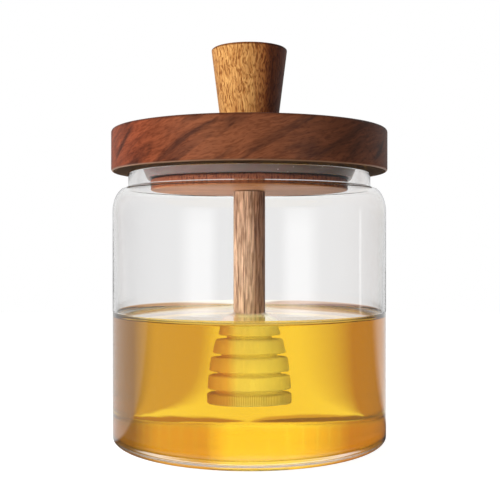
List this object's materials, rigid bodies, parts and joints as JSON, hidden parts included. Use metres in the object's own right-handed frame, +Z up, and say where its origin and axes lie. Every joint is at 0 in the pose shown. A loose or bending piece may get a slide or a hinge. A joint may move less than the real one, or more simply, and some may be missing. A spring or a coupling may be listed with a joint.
{
  "type": "honey pot with dipper",
  "caption": "Clear cylindrical glass jar of honey with a turned wooden lid, a tapered knob, a grey seal, and a wooden honey dipper that hangs from the lid into the honey.",
  "frame": {"origin": "centre of the jar's base, on the surface that it stands on", "axes": "+Z up along the turning axis of the jar and lid, X and Y level"},
  "size_m": [0.095, 0.095, 0.1358],
  "materials": {
    "clear_glass": "clear, smooth, blown and fire-polished",
    "amber_honey": "clear amber liquid honey",
    "red_brown_wood": "turned, oiled, satin, fine grain with diagonal figure",
    "light_brown_wood": "turned, satin",
    "grey_silicone": "translucent soft silicone",
    "golden_wood": "turned, oiled, short dark pores along the grain",
    "dipper_wood": "turned, raw, fine straight grain"
  },
  "bodies": {
    "root": {"glass_jar": "clear_glass", "honey": "amber_honey", "lid_disc": "red_brown_wood", "lid_plug": "light_brown_wood", "lid_seal": "grey_silicone", "knob": "golden_wood", "dipper": "dipper_wood"}
  },
  "joints": []
}
